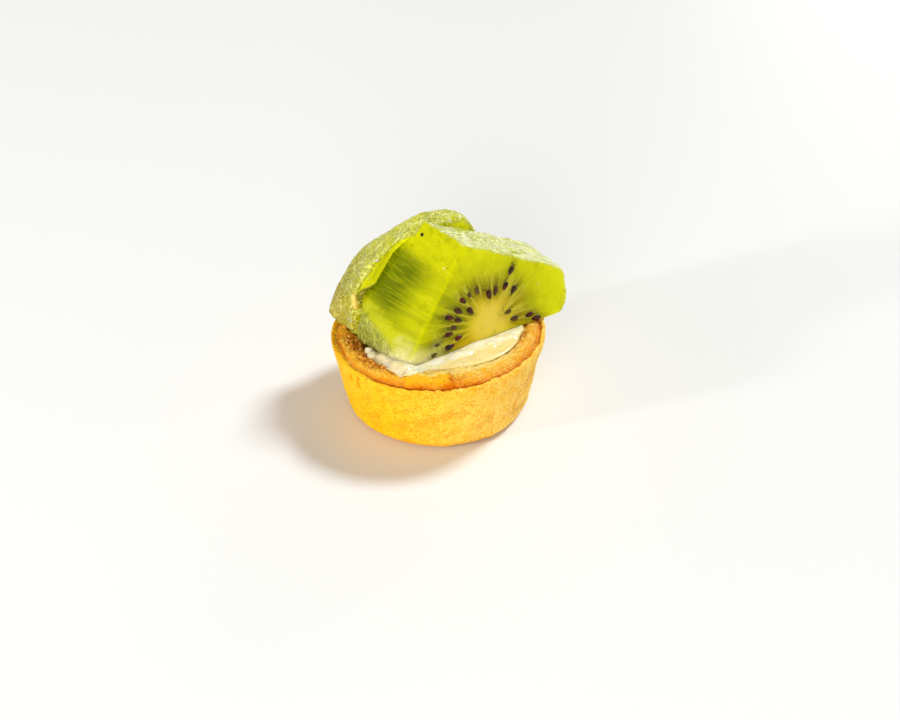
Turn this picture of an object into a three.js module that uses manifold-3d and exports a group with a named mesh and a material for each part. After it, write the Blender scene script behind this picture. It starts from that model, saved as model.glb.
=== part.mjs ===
// A mini kiwi tartlet: a straight-sided pastry cup filled with custard cream,
// with two peeled chunks of kiwi standing on it. Millimetres, +Z up.
// The origin is the middle of the flat underside of the crust.
// Azimuths are degrees anticlockwise from +X, seen from above.

import * as THREE from "three";
import { mergeVertices } from "three/addons/utils/BufferGeometryUtils.js";
import Module from "manifold-3d";

const wasm = await Module();
wasm.setup();

// ---- driving dimensions ----

const clearance = 0.35;          // gap kept between pieces that touch

const crust = {
  outerRadius: 25.0,             // at the thin outer edge of the rim
  footRadius: 21.8,              // where the wall would meet the table
  footRounding: 3.1,
  footInset: 3.25,               // from the foot radius in to where the underside is flat
  footTurns: [0, 30, 60, 90],    // stations round the foot's edge
  wallLean: [                    // how far the wall stands out past the foot, and at what height
    [0.75, 6.5],
    [1.55, 10.5],
    [2.3, 14],
    [3.05, 17.2],
    [3.2, 18.4],
  ],
  height: 19.2,                  // thin outer edge, before the rim leans
  rimLean: 0.037,                // rise of the rim per mm towards +X
  grooveRadius: 24.0,            // dark groove just inside the outer edge
  grooveDepth: 0.7,
  crestRadius: 22.2,             // top of the thick inner ring
  mouthRadius: 17.3,             // inner edge of the ring, where the cream starts
  mouthDrop: 0.35,               // how far the ring has fallen there
  shoulder: 16.2,                // height where the inner wall starts to open
  shoulderInset: 0.5,            // how far inside the mouth the wall is there
  waist: [1.2, 11],              // inside the mouth again, lower down
  toe: [0.9, 5.6],               // outside the floor, just above it
  floorRadius: 13.8,
  floorThickness: 3.6,
  columns: 84,
};

// the ring's upper side between its mouth and the outer edge: radius, and rise over the edge
const ringTop = [
  [18.1, 0],
  [19.2, 0.15],
  [20.4, 0.2],
  [20.9, 0.22],
  [21.6, 0.28],
  [crust.crestRadius, 0.28],
  [22.9, 0.15],
  [23.5, -0.25],
  [crust.grooveRadius, -crust.grooveDepth],
  [24.35, -0.25],
  [24.65, 0],
  [24.95, -0.15],
];

// Each pair of radii or heights is where a shape starts to fade in or out, and where it is done.
const ringRelief = {
  from: [16, 18.5],              // the relief of the ring grows from its inner edge
  until: [22.8, 24.0],           // and ends in the groove
  heights: [12, 17],
  swellAzimuth: -70,             // the ring stands highest at the front
  swellHeight: 0.65,
  sunkAzimuth: 180,              // and has sunk to the cream on the left
  sunkDepth: 1.7,
  sunkUntil: [17, 21.8],
  bayAzimuth: -15,               // the mouth opens wider on the right
  bayWidth: 1.8,
  bayFrom: [12, 16],
  bayUntil: [18.5, 21.5],
  bayHeights: [9, 18.2],
  flakeFrom: [-112, -107],       // a raised flake of crust
  flakeUntil: [-84, -82],        // that ends in a chip
  flakeRadii: [20.5, 21.0],
  flakeFade: [23, 24.0],
  flakeHeight: 0.45,
};

// the wall is a little out of round: waves round the cup, growing up the wall and towards its outside
const wobble = { waves: 3, depth: 0.12, heights: [6, 14], radii: [20, 24] };

// the nearly level surface that the kiwi lies on: height = base + alongX * x + alongY * y
const bed = { base: 18.9, alongX: 0.080, alongY: -0.074 };

const cream = {
  brim: 17.2,                    // profile stations from this height up follow the bed instead
  edge: 0.9,                     // height of the cream's edge
  round: 0.35,                   // and how much of it is rounded
  underBrim: 2.0,                // last station on the crust's wall, below its shoulder
  wallInset: 0.8,                // how far inside the mouth the cream is there
  brimInset: 0.4,
  topInset: 1.1,
  rings: [12.5, 8, 3.5, 0],      // stations of the top surface
};

const rimFit = {                 // the room kept free of kiwi round the rim
  depth: 6,                      // it starts at this height
  reach: 45,                     // and ends this far out
  brink: 26,                     // outside this radius the underside may rise
  edgeDrop: 0.15,
  inset: 0.3,                    // how far inside the mouth it starts
};

// Each face of a chunk is [azimuth, elevation, distance from the chunk's middle].
const frontChunk = {
  middle: new THREE.Vector3(9, 2, 28),
  softness: 0.8,
  columns: 40,
  rows: 24,
  seededFace: [-59, 10, 6.1],
  knifeFaces: [
    [-131.5, 36.3, 14.7],        // smooth lengthwise cut on the left
    [120, 5, 10.6],              // cut turned to the back chunk
  ],
  peeledFaces: [
    [37, 62.6, 12.1],            // top
    [31, 1.3, 20.7],             // right end
    [21.6, -43, 19.3],           // right end, underneath
    [-143.8, 9.6, 22.0],         // left, below the smooth cut
  ],
  overhangRise: 0,               // slope of the underside outside the rim
};

const backChunk = {
  middle: new THREE.Vector3(-8, 12, 29),
  softness: 0.9,
  columns: 48,
  rows: 28,
  knifeFaces: [
    [-60, -5, 6.25],             // cut turned to the front chunk
  ],
  peeledFaces: [
    [-143, 0, 17.0],
    [-150, 35, 19.1],
    [180, 0, 18.0],
    [180, 30, 11.3],
    [180, 60, 11.2],
    [150, 0, 16.0],
    [150, 35, 13.5],
    [120, 0, 8.3],
    [120, 35, 7.5],
    [120, 65, 13.7],
    [90, 0, 12.1],
    [90, 35, 10.5],
    [60, 0, 17.4],
    [60, 40, 17.4],
    [30, 0, 19.5],
    [30, 35, 18.7],
    [20, 18, 18.5],
    [0, 60, 21.0],
    [-60, 80, 15.1],
  ],
  overhangRise: 0.7,
};

const seed = { length: 2.4, width: 1.4, depth: 0.9, sunk: 0.12, sides: 6, rings: 4 };

// The seeds ring the pale core of the seeded face: [angle, distance from the core].
const core = { across: -0.3, up: -5.9 };
const seedPlaces = [
  [-9, 12.4], [-3, 10.5], [-2, 6.3], [22, 5.1], [46, 9.7], [61, 9.7], [61, 13.5], [76, 8.2],
  [88, 7.7], [106, 9.8], [118, 10.2], [129, 10.6], [134, 7.2], [143, 10.1], [154, 11.8],
  [155, 9.2], [166, 9.9], [174, 11.2], [182, 14.3], [183, 8.7], [190, 11.4], [190, 15.6],
];

const bakedCrust = { color: 0xf0a623, roughness: 0.75, metalness: 0 };
const custard = { color: 0xf4eccb, roughness: 0.25, metalness: 0 };
const cutKiwi = { color: 0xc3c414, roughness: 0.3, metalness: 0 };
const peeledKiwi = { color: 0xb9bc3c, roughness: 0.4, metalness: 0 };

const tiny = 1e-6;               // radii below this count as on the axis
const grazing = 0.02;            // faces seen flatter than this don't end a direction
const beyondCut = 2;             // how far the rounded body runs past a knife cut
const farBlock = 120;            // side of the block that a knife cut takes away

// ---- small helpers ----

const degrees = THREE.MathUtils.degToRad;

// 0 up to the first value of the pair, 1 from the second on, eased between them
function fade(value, [start, end]) {
  return THREE.MathUtils.smoothstep(value, start, end);
}

function directionOf(azimuth, elevation) {
  const level = Math.cos(degrees(elevation));
  return new THREE.Vector3(
    level * Math.cos(degrees(azimuth)),
    level * Math.sin(degrees(azimuth)),
    Math.sin(degrees(elevation)),
  );
}

// 1 where the point lies towards the azimuth, falling to 0 a quarter turn away
function facing(x, y, azimuth, power) {
  const radius = Math.hypot(x, y);
  if (radius < tiny) {
    return 0;
  }
  const towards = (x * Math.cos(degrees(azimuth)) + y * Math.sin(degrees(azimuth))) / radius;
  return Math.max(0, towards) ** power;
}

function toSolid(geometry) {
  const bare = geometry.clone();
  bare.deleteAttribute("normal");
  bare.deleteAttribute("uv");
  const merged = mergeVertices(bare, 1e-4);
  return new wasm.Manifold(new wasm.Mesh({
    numProp: 3,
    vertProperties: new Float32Array(merged.attributes.position.array),
    triVerts: new Uint32Array(merged.index.array),
  }));
}

function toMesh(name, solid, finish) {
  const result = solid.getMesh();
  const geometry = new THREE.BufferGeometry();
  geometry.setAttribute("position", new THREE.BufferAttribute(result.vertProperties, 3));
  geometry.setIndex(new THREE.BufferAttribute(result.triVerts, 1));
  geometry.computeVertexNormals();
  const mesh = new THREE.Mesh(geometry, new THREE.MeshStandardMaterial(finish));
  mesh.name = name;
  return mesh;
}

function moveVertices(geometry, move) {
  const position = geometry.attributes.position;
  const point = new THREE.Vector3();
  for (let i = 0; i < position.count; i += 1) {
    point.fromBufferAttribute(position, i);
    move(point);
    position.setXYZ(i, point.x, point.y, point.z);
  }
  return geometry;
}

// A profile of [radius, height] pairs turned round +Z.
function turned(profile, columns) {
  const points = profile.map(([radius, height]) => new THREE.Vector2(radius, height));
  const geometry = new THREE.LatheGeometry(points, columns);
  geometry.rotateX(Math.PI / 2);
  return geometry;
}

// ---- the crust ----

// The bay widens the mouth on one side; it fades out towards the floor and the crest.
function bayAt(x, y, height) {
  const radius = Math.hypot(x, y);
  const { bayAzimuth, bayWidth, bayFrom, bayUntil, bayHeights } = ringRelief;
  const nearMouth = fade(height, bayHeights) * fade(radius, bayFrom) * (1 - fade(radius, bayUntil));
  return bayWidth * nearMouth * facing(x, y, bayAzimuth, 3);
}

// Relief of the ring: a swell at the front, a sunk stretch on the left and a raised flake.
function ringLift(x, y) {
  const radius = Math.hypot(x, y);
  const azimuth = THREE.MathUtils.radToDeg(Math.atan2(y, x));
  const { from, until, flakeFrom, flakeUntil, flakeRadii, flakeFade } = ringRelief;
  const onRing = fade(radius, from) * (1 - fade(radius, until));
  const swell = ringRelief.swellHeight * onRing * facing(x, y, ringRelief.swellAzimuth, 1);
  const inside = 1 - fade(radius, ringRelief.sunkUntil);
  const sunk = ringRelief.sunkDepth * inside * facing(x, y, ringRelief.sunkAzimuth, 2);
  const alongFlake = fade(azimuth, flakeFrom) * (1 - fade(azimuth, flakeUntil));
  const acrossFlake = fade(radius, flakeRadii) * (1 - fade(radius, flakeFade));
  return swell - sunk + ringRelief.flakeHeight * alongFlake * acrossFlake;
}

function shapeCrust(point) {
  const { x, y, z } = point;
  const share = z / crust.height;
  const radius = Math.hypot(x, y);
  const lift = fade(z, ringRelief.heights) * ringLift(x, y);
  if (radius > tiny) {
    const wave = Math.sin(wobble.waves * Math.atan2(y, x));
    const outOfRound = wobble.depth * wave * fade(z, wobble.heights) * fade(radius, wobble.radii);
    const outward = (bayAt(x, y, z) + outOfRound) / radius;
    point.x += outward * x;
    point.y += outward * y;
  }
  point.z += lift + crust.rimLean * x * share;
}

// Top of the rim from its mouth out to the wall, raised by a given amount.
function rimLine(raise) {
  const edge = crust.height + raise;
  const top = ringTop.map(([radius, rise]) => [radius, edge + rise]);
  return [[crust.mouthRadius, edge - crust.mouthDrop], ...top];
}

function crustSolid() {
  const { footRadius, footRounding, footInset, mouthRadius, floorRadius, floorThickness } = crust;
  const foot = crust.footTurns.map((turn) => [
    footRadius - footInset + footRounding * Math.sin(degrees(turn)),
    footRounding * (1 - Math.cos(degrees(turn))),
  ]);
  const wall = crust.wallLean.map(([lean, height]) => [footRadius + lean, height]);
  const inside = [
    [mouthRadius - crust.shoulderInset, crust.shoulder],
    [mouthRadius - crust.waist[0], crust.waist[1]],
    [floorRadius + crust.toe[0], crust.toe[1]],
    [floorRadius, floorThickness],
    [0, floorThickness],
  ];
  const profile = [[0, 0], ...foot, ...wall, ...rimLine(0).reverse(), ...inside];
  return toSolid(moveVertices(turned(profile, crust.columns), shapeCrust));
}

// Everything that the rim takes up, grown by the clearance: it fits the kiwi to the rim.
function rimRoom(overhangRise) {
  const { depth, reach, brink } = rimFit;
  const edgeHeight = crust.height + clearance - rimFit.edgeDrop;
  const inner = crust.mouthRadius - clearance - rimFit.inset;
  const profile = [
    [inner, depth],
    [reach, depth],
    [reach, edgeHeight + overhangRise * (reach - brink)],
    [brink, edgeHeight],
    ...rimLine(clearance).reverse(),
    [inner, crust.height - rimFit.inset],
    [inner, depth],
  ];
  return toSolid(moveVertices(turned(profile, crust.columns), shapeCrust));
}

// ---- the cream ----

function bedHeight(x, y) {
  return bed.base + bed.alongX * x + bed.alongY * y;
}

// A plug inside the crust: its side follows the wall and its top lies just below the kiwi.
function creamSolid() {
  const { brim, edge, round } = cream;
  const mouth = crust.mouthRadius - clearance;
  const bottom = crust.floorThickness + clearance;
  const top = brim + edge;
  const profile = [
    [0, bottom],
    [crust.floorRadius - clearance, bottom],
    [crust.floorRadius + crust.toe[0] - clearance, crust.toe[1] + clearance],
    [mouth - crust.waist[0], crust.waist[1]],
    [mouth - cream.wallInset, crust.shoulder - cream.underBrim],
    [mouth - cream.brimInset, brim],
    [mouth - cream.brimInset, top - round],
    [mouth - cream.topInset, top],
    ...cream.rings.map((radius) => [radius, top]),
  ];
  const geometry = turned(profile, crust.columns);
  moveVertices(geometry, (point) => {
    if (point.z < brim) {
      shapeCrust(point);
      return;
    }
    const radius = Math.hypot(point.x, point.y);
    const grown = 1 + bayAt(point.x, point.y, crust.height) / Math.max(radius, 1);
    const below = top - point.z;
    point.x *= grown;
    point.y *= grown;
    point.z = bedHeight(point.x, point.y) - clearance - below;
  });
  return toSolid(geometry);
}

// ---- the kiwi ----

function planeOf([azimuth, elevation, distance]) {
  return { normal: directionOf(azimuth, elevation), distance };
}

// A rounded body round its middle: along each direction it ends at the nearest of its
// faces, and the soft minimum of their distances rounds the edges between them.
function peeledBody(chunk, faces) {
  const geometry = new THREE.SphereGeometry(1, chunk.columns, chunk.rows);
  geometry.rotateX(Math.PI / 2);
  moveVertices(geometry, (point) => {
    const direction = point.clone().normalize();
    let sum = 0;
    for (const face of faces) {
      const slope = direction.dot(face.normal);
      if (slope > grazing) {
        sum += Math.exp(-face.distance / slope / chunk.softness);
      }
    }
    const radius = -chunk.softness * Math.log(sum);
    point.copy(direction).multiplyScalar(radius).add(chunk.middle);
  });
  return toSolid(geometry);
}

// A block that fills the far side of a plane, for a straight knife cut.
function farSide(face, middle) {
  const geometry = new THREE.BoxGeometry(farBlock, farBlock, farBlock);
  geometry.translate(0, 0, face.distance + farBlock / 2);
  const turn = new THREE.Quaternion().setFromUnitVectors(new THREE.Vector3(0, 0, 1), face.normal);
  geometry.applyQuaternion(turn);
  geometry.translate(middle.x, middle.y, middle.z);
  return toSolid(geometry);
}

// The flat underside that lies on the cream.
function undersideOf(chunk) {
  const normal = new THREE.Vector3(bed.alongX, bed.alongY, -1).normalize();
  const { x, y, z } = chunk.middle;
  return { normal, distance: (z - bedHeight(x, y)) * -normal.z };
}

function chunkSolid(chunk) {
  const cuts = chunk.knifeFaces.map(planeOf);
  if (chunk.seededFace) {
    cuts.push(planeOf(chunk.seededFace));
  }
  cuts.push(undersideOf(chunk));
  const beyond = cuts.map((face) => ({ normal: face.normal, distance: face.distance + beyondCut }));
  let solid = peeledBody(chunk, [...chunk.peeledFaces.map(planeOf), ...beyond]);
  for (const face of cuts) {
    solid = solid.subtract(farSide(face, chunk.middle));
  }
  return solid.subtract(rimRoom(chunk.overhangRise));
}

// Seeds lie half sunk in the seeded face, each pointing at the core.
function withSeeds(chunk, solid) {
  const face = planeOf(chunk.seededFace);
  const across = directionOf(chunk.seededFace[0] + 90, 0);
  const up = new THREE.Vector3().crossVectors(face.normal, across);
  const coreMiddle = chunk.middle.clone()
    .addScaledVector(face.normal, face.distance - seed.sunk)
    .addScaledVector(across, core.across)
    .addScaledVector(up, core.up);
  let result = solid;
  for (const [angle, distance] of seedPlaces) {
    const outward = across.clone().multiplyScalar(Math.cos(degrees(angle)))
      .addScaledVector(up, Math.sin(degrees(angle)));
    const sideways = new THREE.Vector3().crossVectors(face.normal, outward);
    const geometry = new THREE.SphereGeometry(0.5, seed.sides, seed.rings);
    geometry.scale(seed.width, seed.length, seed.depth);
    const place = new THREE.Matrix4().makeBasis(sideways.negate(), outward, face.normal);
    place.setPosition(coreMiddle.clone().addScaledVector(outward, distance));
    geometry.applyMatrix4(place);
    result = result.add(toSolid(geometry));
  }
  return result;
}

// ---- the tartlet ----

const tart = new THREE.Group();
tart.add(toMesh("pastry_shell", crustSolid(), bakedCrust));
tart.add(toMesh("custard_cream", creamSolid(), custard));
tart.add(toMesh("kiwi_front", withSeeds(frontChunk, chunkSolid(frontChunk)), cutKiwi));
tart.add(toMesh("kiwi_back", chunkSolid(backChunk), peeledKiwi));

export default tart;
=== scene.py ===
import math

import bpy
import numpy as np
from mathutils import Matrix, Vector


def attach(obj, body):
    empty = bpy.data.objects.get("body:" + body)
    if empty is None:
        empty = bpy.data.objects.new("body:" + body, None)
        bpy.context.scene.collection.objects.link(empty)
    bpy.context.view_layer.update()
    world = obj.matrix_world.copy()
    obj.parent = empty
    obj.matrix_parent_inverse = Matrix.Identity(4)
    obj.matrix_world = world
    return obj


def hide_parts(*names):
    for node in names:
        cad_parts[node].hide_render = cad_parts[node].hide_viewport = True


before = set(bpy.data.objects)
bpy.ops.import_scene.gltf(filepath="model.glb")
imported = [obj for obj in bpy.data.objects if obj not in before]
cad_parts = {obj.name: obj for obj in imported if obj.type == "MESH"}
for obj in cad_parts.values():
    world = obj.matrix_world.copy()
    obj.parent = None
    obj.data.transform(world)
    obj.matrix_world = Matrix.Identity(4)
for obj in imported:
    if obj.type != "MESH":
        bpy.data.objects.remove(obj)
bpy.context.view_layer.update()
mm = 0.001  # shapes are worked out in millimetres and made in metres
print("frame loaded:", ", ".join(sorted(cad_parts)))


# The unit vector that points to an azimuth and an elevation, both in degrees
def heading(azimuth, elevation=0.0):
    a, e = math.radians(azimuth), math.radians(elevation)
    return np.array([math.cos(e) * math.cos(a), math.cos(e) * math.sin(a), math.sin(e)])


# 0 on the side of start, 1 on the side of end, and 3t^2 - 2t^3 between them; end may be the lower of the two
def ease(x, start, end):
    t = np.clip((x - start) / (end - start), 0.0, 1.0)
    return t * t * (3.0 - 2.0 * t)


# A bell round a middle: e to the minus of the square of the distance over the width
def bell(x, middle, width):
    return np.exp(-(((x - middle) / width) ** 2))


# How far each place faces an azimuth: the cosine of the angle between them, to a power
def facing(theta, azimuth, power):
    return np.maximum(np.cos(theta - math.radians(azimuth)), 0.0) ** power


# Random numbers from 0 to 1 for whole-number lattice corners, by mixing their bits
def scatter(corner, seed):
    mask = 0x7FFFFFFF
    mixed = corner[..., 0] * 73856093 ^ corner[..., 1] * 19349663 ^ corner[..., 2] * 83492791
    mixed = (mixed ^ (seed * 2654435761)) & mask
    for shift, factor in ((13, 1274126177), (15, 1812433253)):
        mixed = ((mixed ^ (mixed >> shift)) * factor) & mask
    return ((mixed ^ (mixed >> 11)) & 0xFFFFF) / float(0xFFFFF)


# Noise from -1 to 1: a random number at each lattice corner, blended by 6t^5 - 15t^4 + 10t^3
def noise(points, grain, seed):
    q = points / grain
    base = np.floor(q).astype(np.int64)
    t = q - base
    t = t * t * t * (t * (t * 6.0 - 15.0) + 10.0)
    total = np.zeros(points.shape[:-1])
    for step in np.ndindex(2, 2, 2):
        weight = np.prod(np.where(step, t, 1.0 - t), axis=-1)
        total += weight * scatter(base + np.array(step), seed)
    return total * 2.0 - 1.0


# Several layers of noise, each of half the grain and half the height of the one before
def layered(points, grain, seed, layers=3):
    return sum(noise(points, grain / 2**i, seed + i) / 2**i for i in range(layers))


# Distances to the nearest and the next nearest of one random point in each lattice cell
def cells(points, grain, seed):
    q = points / grain
    base = np.floor(q).astype(np.int64)
    near = np.full(points.shape[:-1], 9.0)
    after = near.copy()
    for step in np.ndindex(3, 3, 3):
        corner = base + np.array(step) - 1
        spot = np.stack([scatter(corner, seed + k) for k in (0, 101, 202)], axis=-1)
        gap = np.linalg.norm(corner + spot - q, axis=-1)
        after = np.minimum(after, np.maximum(gap, near))
        near = np.minimum(near, gap)
    return near, after


# Minus s times the logarithm of the sum of e^(-x/s): the least of several, with rounded corners
def softMin(options, softness):
    stack = np.array(options)
    low = stack.min(axis=0)
    return low - softness * np.log(np.exp((low - stack) / softness).sum(axis=0))


# Outward normals of a wrapped grid: the step along a row crossed with the step to the next row
def gridNormals(grid):
    along = np.roll(grid, -1, axis=1) - np.roll(grid, 1, axis=1)
    up = np.gradient(grid, axis=0)
    n = np.cross(along, up)
    size = np.linalg.norm(n, axis=-1, keepdims=True)
    return n / np.maximum(size, 1e-12)


# A grid of directions: rows run from straight down to straight up, columns go round
def ballGrid(rows, columns):
    lat = np.linspace(-math.pi / 2, math.pi / 2, rows)[:, None]
    lon = np.arange(columns)[None] * 2 * math.pi / columns
    flat, up = np.cos(lat), np.sin(lat) * np.ones_like(lon)
    return np.stack([flat * np.cos(lon), flat * np.sin(lon), up], -1)


# A closed grid as one list: columns wrap round, and the first and last row each close in one pole
def listed(grid):
    poles = grid[[0, -1]].mean(axis=1)
    return np.concatenate([poles[:1], grid[1:-1].reshape(-1, *grid.shape[2:]), poles[1:]])


# The faces of such a grid: quads between its rows and a fan of triangles round each pole
def gridFaces(rows, columns):
    index = 1 + np.arange((rows - 2) * columns).reshape(rows - 2, columns)
    after = np.roll(index, -1, axis=1)
    quads = np.stack([index[:-1], after[:-1], after[1:], index[1:]], axis=-1).reshape(-1, 4)
    first = np.stack([np.zeros(columns, int), after[0], index[0]], axis=-1)
    last = np.stack([np.full(columns, index[-1, -1] + 1), index[-1], after[-1]], axis=-1)
    return quads, np.concatenate([first, last])


# A mesh object from points in mm, quads and triangles: shaded smooth, and riding on the tart
def meshOf(name, points, quads, triangles, material, slot):
    mesh = bpy.data.meshes.new(name)
    corners = np.concatenate([quads.ravel(), triangles.ravel()])
    starts = np.concatenate([np.arange(len(quads)) * 4, len(quads) * 4 + np.arange(len(triangles)) * 3])
    mesh.vertices.add(len(points))
    mesh.vertices.foreach_set("co", (points * mm).astype(np.float32).ravel())
    mesh.loops.add(len(corners))
    mesh.loops.foreach_set("vertex_index", corners.astype(np.int32))
    mesh.polygons.add(len(starts))
    mesh.polygons.foreach_set("loop_start", starts.astype(np.int32))
    mesh.update(calc_edges=True)
    mesh.validate()
    mesh.shade_smooth()
    mesh.materials.append(material)
    obj = bpy.data.objects.new(name, mesh)
    bpy.context.scene.collection.objects.link(obj)
    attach(obj, "root")
    return obj


def addField(obj, key, values):
    layer = obj.data.attributes.new(key, "FLOAT", "POINT")
    layer.data.foreach_set("value", values.astype(np.float32))


# One closed grid as an object, with the masks that its material reads
def skin(name, grid, material, slot, fields=None):
    obj = meshOf(name, listed(grid), *gridFaces(*grid.shape[:2]), material, slot)
    for key, values in (fields or {}).items():
        addField(obj, key, listed(values))
    return obj


# Many small bodies of one kind of grid as a single object, with one value for each body
def manyOf(name, bodies, gridShape, material, slot, key, values):
    count, size = bodies.shape[:2]
    shift = (np.arange(count) * size)[:, None, None]
    quads, triangles = ((part + shift).reshape(-1, part.shape[1]) for part in gridFaces(*gridShape))
    obj = meshOf(name, bodies.reshape(-1, 3), quads, triangles, material, slot)
    addField(obj, key, np.repeat(values, size))
    return obj


# A colour for a socket: three values from 0 to 255 on screen are made linear, anything else is left as it is
def tone(colour):
    if isinstance(colour, bpy.types.NodeSocket) or len(colour) == 4:
        return colour
    c = np.array(colour) / 255.0
    c = np.where(c <= 0.04045, c / 12.92, ((c + 0.055) / 1.055) ** 2.4)
    return (float(c[0]), float(c[1]), float(c[2]), 1.0)


# Fills inputs: a socket is linked, a value is set
def feed(inputs, given):
    for key, value in given.items():
        if isinstance(value, bpy.types.NodeSocket):
            value.id_data.links.new(value, inputs[key])
        else:
            inputs[key].default_value = value


# One node with its inputs and settings; a socket among the inputs knows the tree that it goes in
def put(kind, inputs, tree=None, **settings):
    tree = tree or next(value.id_data for value in inputs.values() if isinstance(value, bpy.types.NodeSocket))
    made = tree.nodes.new("ShaderNode" + kind)
    for key, value in settings.items():
        setattr(made, key, value)
    feed(made.inputs, inputs)
    return made


def calc(operation, a, b):
    return put("Math", {0: a, 1: b}, operation=operation).outputs[0]


def times(a, b):
    return calc("MULTIPLY", a, b)


def plus(a, b):
    return calc("ADD", a, b)


def minus(a, b):
    return calc("SUBTRACT", a, b)


def vector(operation, a, b=(0.0, 0.0, 0.0)):
    made = put("VectorMath", {0: a, 1: b}, operation=operation)
    return made.outputs["Value" if operation in ("DOT_PRODUCT", "LENGTH") else "Vector"]


def scaled(a, factor):
    return put("VectorMath", {0: a, "Scale": factor}, operation="SCALE").outputs[0]


def joined(x, y, z):
    return put("CombineXYZ", {0: x, 1: y, 2: z}).outputs[0]


# A value taken from one range to another, eased at both ends
def remap(value, low, high, newLow=0.0, newHigh=1.0):
    limits = {"Value": value, "From Min": low, "From Max": high, "To Min": newLow, "To Max": newHigh}
    return put("MapRange", limits, interpolation_type="SMOOTHSTEP").outputs["Result"]


def mixValue(share, a, b):
    return put("Mix", {0: share, 2: a, 3: b}, data_type="FLOAT").outputs[0]


def mixColour(share, a, b):
    return put("Mix", {0: share, 6: tone(a), 7: tone(b)}, data_type="RGBA").outputs[2]


# Coats of colour over a base, each as far as its mask times its strength
def paint(base, coats):
    for mask, strength, colour in coats:
        base = mixColour(times(mask, strength), base, colour)
    return base


# A colour scale from stops of position, red, green and blue
def rampOf(value, stops):
    made = put("ValToRGB", {"Fac": value})
    scale = made.color_ramp.elements
    scale[0].position, scale[0].color = stops[0][0], tone(stops[0][1:])
    scale[1].position, scale[1].color = stops[-1][0], tone(stops[-1][1:])
    for position, *colour in stops[1:-1]:
        scale.new(position).color = tone(colour)
    return made.outputs["Color"]


def field(tree, name):
    return put("Attribute", {}, tree, attribute_name=name).outputs["Fac"]


def place(tree):
    return put("TexCoord", {}, tree).outputs["Object"]


def noiseAt(where, scale, detail=2.0, roughness=0.5, distortion=0.0):
    inputs = {"Vector": where, "Scale": scale, "Detail": detail, "Roughness": roughness}
    return put("TexNoise", {**inputs, "Distortion": distortion}).outputs["Fac"]


# Scattered dots that fade out to a size: a cell has one where its random value is over the rarity
def dotsAt(where, scale, rarity, size):
    made = put("TexVoronoi", {"Vector": where, "Scale": scale}).outputs
    chosen = calc("GREATER_THAN", put("SeparateXYZ", {0: made["Color"]}).outputs[0], rarity)
    return times(remap(made["Distance"], size, 0.03), chosen)


# A bump from a height in metres of real depth, over another bump if one is given
def bump(height, depth, under=None):
    inputs = {"Height": height, "Distance": depth, "Strength": 1.0}
    if under is not None:
        inputs["Normal"] = under
    return put("Bump", inputs).outputs["Normal"]


# An empty node group with inputs {name: default}; gives the sockets to work from
def newGroup(name, inputs):
    tree = bpy.data.node_groups.new(name, "ShaderNodeTree")
    for key, value in inputs.items():
        kind = "NodeSocketFloat" if isinstance(value, float) else "NodeSocketVector"
        tree.interface.new_socket(name=key, in_out="INPUT", socket_type=kind).default_value = value
    return tree.nodes.new("NodeGroupInput").outputs


# Gives a group its outputs, each of the kind of the socket that feeds it
def closeGroup(results):
    tree = next(iter(results.values())).id_data
    kinds = {"VALUE": "NodeSocketFloat", "RGBA": "NodeSocketColor", "VECTOR": "NodeSocketVector"}
    for key, socket in results.items():
        tree.interface.new_socket(name=key, in_out="OUTPUT", socket_type=kinds[socket.type])
    feed(tree.nodes.new("NodeGroupOutput").inputs, results)
    return tree


def useGroup(group, inputs):
    return put("Group", inputs, node_tree=group).outputs


def newMaterial(name):
    material = bpy.data.materials.new(name)
    material.use_nodes = True
    tree = material.node_tree
    return material, tree, tree.nodes["Principled BSDF"].inputs


# Patches and fine grains: a slow tone, small pores, pale flecks, darker specks and a height
def makeGrainGroup():
    given = newGroup("bakedGrain", {"Vector": (0.0, 0.0, 0.0), "Grain": 1500.0, "Pores": 0.3})
    where, grain = given["Vector"], given["Grain"]
    fine = noiseAt(where, grain, 3.0, 0.70)
    spots = put("TexVoronoi", {"Vector": where, "Scale": times(grain, 0.6)})
    pit = remap(spots.outputs["Distance"], 0.30, 0.05)
    chosen = remap(noiseAt(where, 520.0), 0.52, 0.62)
    pores = times(times(pit, chosen), given["Pores"])
    flecks, specks = remap(fine, 0.52, 0.66), remap(fine, 0.48, 0.34)
    return closeGroup({"Patches": noiseAt(where, 340.0, 4.0, 0.65), "Pores": pores, "Flecks": flecks,
                       "Specks": specks, "Height": minus(fine, pores)})


coreInputs = dict.fromkeys(("Vector", "Core", "Across", "Up", "Axis"), (0.0, 0.0, 0.0))


# Place about a fruit's core line: radius from it, place along it, and a vector that turns with the angle
def makeCoreGroup():
    given = newGroup("coreSpace", coreInputs)
    offset = vector("SUBTRACT", given["Vector"], given["Core"])
    a, b, along = (vector("DOT_PRODUCT", offset, given[key]) for key in ("Across", "Up", "Axis"))
    flat = joined(a, b, 0.0)
    return closeGroup({"Radius": vector("LENGTH", flat), "Along": along, "Turn": vector("NORMALIZE", flat)})


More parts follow.
